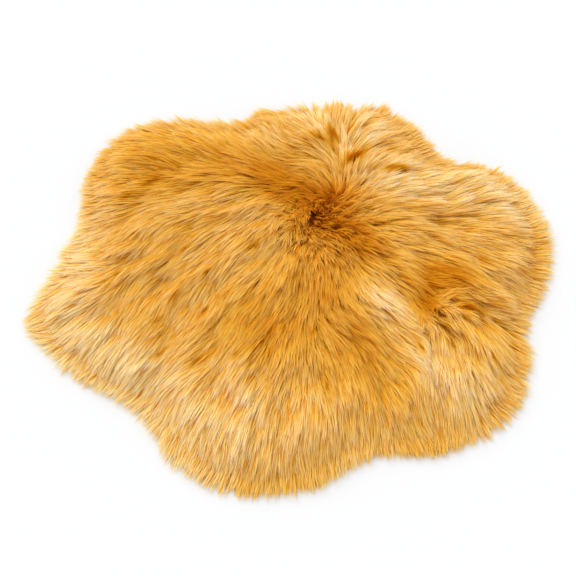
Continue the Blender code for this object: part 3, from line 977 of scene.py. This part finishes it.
def rough_material(name, dark, pale, size, relief):
    """A matt surface mottled between two colours at the size of its fibres, with a fine relief."""
    material, n, shader = matt_material(name, CLOTH_ROUGHNESS)
    inputs = (("Size", size), ("Dark", (*dark, 1)), ("Pale", (*pale, 1)))
    mottle = n.node("ShaderNodeGroup", inputs, node_tree=mottle_group()).outputs
    bump = n.node("ShaderNodeBump", (("Distance", relief), ("Height", mottle["Height"])))
    n.link(mottle["Color"], shader.inputs["Base Color"])
    n.link(bump.outputs["Normal"], shader.inputs["Normal"])
    return material


def knit_material(name, dark, pale, stitch):
    """Knitted cloth: rows of small loops, with painted shade between the rows and between the
    loops.
    """
    material = rough_material(name, dark, pale, STITCH_GRAIN * stitch, STITCH_RELIEF * stitch)
    n = Nodes(material.node_tree)
    shader = n.tree.nodes["Principled BSDF"]
    inputs = (
        ("Vector", n.node("ShaderNodeTexCoord").outputs["Object"]),
        ("Scale", WAVE_PERIOD / stitch),
        ("Distortion", STITCH_WARP),
        ("Detail Scale", STITCH_WARP_SCALE),
    )
    rows = [n.node("ShaderNodeTexWave", inputs, bands_direction=way) for way in "XY"]
    loops = n.times(*[row.outputs["Fac"] for row in rows])
    mottled = shader.inputs["Base Color"].links[0].from_socket
    # Painted shade: the cloth takes its dark colour where its relief is low, between rows and loops
    n.link(n.mixed(loops, (*dark, 1), mottled), shader.inputs["Base Color"])
    n.link(loops, shader.inputs["Normal"].links[0].from_node.inputs["Height"])
    return material


def floor_material(tint):
    """A pale matt floor."""
    material, _, shader = matt_material("floor", FLOOR_ROUGHNESS)
    shader.inputs["Base Color"].default_value = (*tint, 1)
    return material


class RUG_OT_ground(bpy.types.Operator):
    """Knitted ground cloth that the pile is anchored in"""

    bl_idname = "rug.ground"
    bl_label = "Ground cloth"

    def execute(self, context):
        settings = context.scene.rug_fur
        rim = polar_places(settings.fringe)[0]
        count = len(rim)
        points = [(x + SHIFT.x, y + SHIFT.y, z) for z in (0.0, GROUND_THICKNESS) for x, y in rim]
        faces = [tuple(range(count - 1, -1, -1)), tuple(range(count, 2 * count))]
        for k in range(count):
            following = (k + 1) % count
            faces.append((k, following, count + following, count + k))
        mesh = bpy.data.meshes.new("ground_cloth")
        mesh.from_pydata(points, [], faces)
        mesh.materials.append(knit_material("knitted_ground", *GROUND_COLOURS, STITCH))
        piece = add_piece("ground_cloth", mesh)
        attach(piece, "root")
        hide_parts("fur_rug")
        return {"FINISHED"}


class RUG_OT_underfur(bpy.types.Operator):
    """Dense lower part of the pile"""

    bl_idname = "rug.underfur"
    bl_label = "Underfur"

    def execute(self, context):
        places, heights, _, _ = underfur_surface(context.scene.rug_fur)
        mesh, _ = polar_mesh("underfur", range(BEARINGS), places, heights, GROUND_THICKNESS)
        grain = (UNDERFUR_GRAIN, UNDERFUR_RELIEF)
        mesh.materials.append(rough_material("dense_underfur", *UNDERFUR_COLOURS, *grain))
        mesh.shade_smooth()
        piece = add_piece("underfur", mesh)
        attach(piece, "root")
        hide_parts("fur_rug")
        return {"FINISHED"}


class RUG_OT_fur(bpy.types.Operator):
    """Long guard fur, one piece for each lobe"""

    bl_idname = "rug.fur"
    bl_label = "Guard fur"

    def execute(self, context):
        settings = context.scene.rug_fur
        places, heights, lean, inside = underfur_surface(settings)
        near_rim = 1 - smooth(inside / RIM_TRIM)
        lift = np.degrees(np.arcsin(lean[:, 2]))
        upright = smooth((lift - UPRIGHT_FROM) / UPRIGHT_OVER)
        growth = 1.0 - RIM_SHORTER * near_rim - UPRIGHT_SHORTER * upright
        growth = growth * (1 - HOLLOW_SHORTER * hollow_at(places, WIDE_HOLLOW))
        values = {
            "lean": lean,
            "slope": surface_lift(places, heights, lean),
            "growth": kept_within(growth, places, lean, settings.strand_length),
            "shade": streaks(places, lean, SHADE_STREAKS),
            "curl": curl_of(places),
        }
        tree = fur_tree()
        material = fur_material(settings)
        each = BEARINGS // len(ZONES)
        for k, name in enumerate(ZONES):
            first = k * each - each // 4
            columns = [(first + i) % BEARINGS for i in range(each + 1)]
            mesh, used = polar_mesh(name, columns, places, heights)
            for key, known in values.items():
                add_values(mesh, key, known[used])
            piece = add_piece(name, mesh)
            grow_fur(piece, tree, settings, FIRST_SEED + k, material)
            tint_fur(piece.data)
            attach(piece, "root")
            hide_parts("fur_rug")
        return {"FINISHED"}


class RUG_OT_stage(bpy.types.Operator):
    """Pale floor, soft light and the camera"""

    bl_idname = "rug.stage"
    bl_label = "Stage"

    def execute(self, context):
        settings = context.scene.rug_stage
        scene = context.scene
        floor = bpy.data.meshes.new("floor")
        ways = ((-1, -1), (1, -1), (1, 1), (-1, 1))
        floor.from_pydata([(FLOOR_REACH * x, FLOOR_REACH * y, 0) for x, y in ways], [], [range(4)])
        floor.materials.append(floor_material(settings.floor_colour))
        ground = add_piece("floor", floor)

        world = bpy.data.worlds.new("soft_sky")
        world.use_nodes = True
        sky = world.node_tree.nodes["Background"].inputs
        sky["Color"].default_value = (1, 1, 1, 1)
        sky["Strength"].default_value = settings.sky
        scene.world = world

        sun = bpy.data.lights.new("key_light", "SUN")
        sun.energy = settings.key
        sun.angle = SUN_SPREAD
        key = add_piece("key_light", sun)
        key.rotation_euler = SUN_FROM.to_track_quat("Z", "Y").to_euler()

        lens = bpy.data.cameras.new("camera")
        lens.lens = settings.lens
        camera = add_piece("camera", lens)
        elevation = settings.camera_elevation
        back = Vector((0, -math.cos(elevation), math.sin(elevation)))
        camera.location = (AIM + SHIFT).to_3d() + back * settings.camera_distance
        camera.rotation_euler = back.to_track_quat("Z", "Y").to_euler()
        scene.camera = camera
        scene.view_settings.view_transform = "Standard"
        return {"FINISHED"}


class RUG_PT_panel(bpy.types.Panel):
    """Buttons and sizes of the rug"""

    bl_label = "Faux sheepskin rug"
    bl_idname = "RUG_PT_panel"
    bl_space_type = "VIEW_3D"
    bl_region_type = "UI"
    bl_category = "Rug"

    def draw(self, context):
        for group in (context.scene.rug_fur, context.scene.rug_stage):
            box = self.layout.box()
            for name in type(group).__annotations__:
                box.prop(group, name)
        for name in ("rug.ground", "rug.underfur", "rug.fur", "rug.stage"):
            self.layout.operator(name)


CLASSES = (
    RUG_PG_fur,
    RUG_PG_stage,
    RUG_OT_ground,
    RUG_OT_underfur,
    RUG_OT_fur,
    RUG_OT_stage,
    RUG_PT_panel,
)


def register():
    for cls in CLASSES:
        bpy.utils.register_class(cls)
    bpy.types.Scene.rug_fur = bpy.props.PointerProperty(type=RUG_PG_fur)
    bpy.types.Scene.rug_stage = bpy.props.PointerProperty(type=RUG_PG_stage)


def unregister():
    del bpy.types.Scene.rug_fur, bpy.types.Scene.rug_stage
    for cls in reversed(CLASSES):
        bpy.utils.unregister_class(cls)


def main():
    register()
    bpy.ops.rug.ground()
    bpy.ops.rug.underfur()
    bpy.ops.rug.fur()
    bpy.ops.rug.stage()


if __name__ == "__main__":
    main()
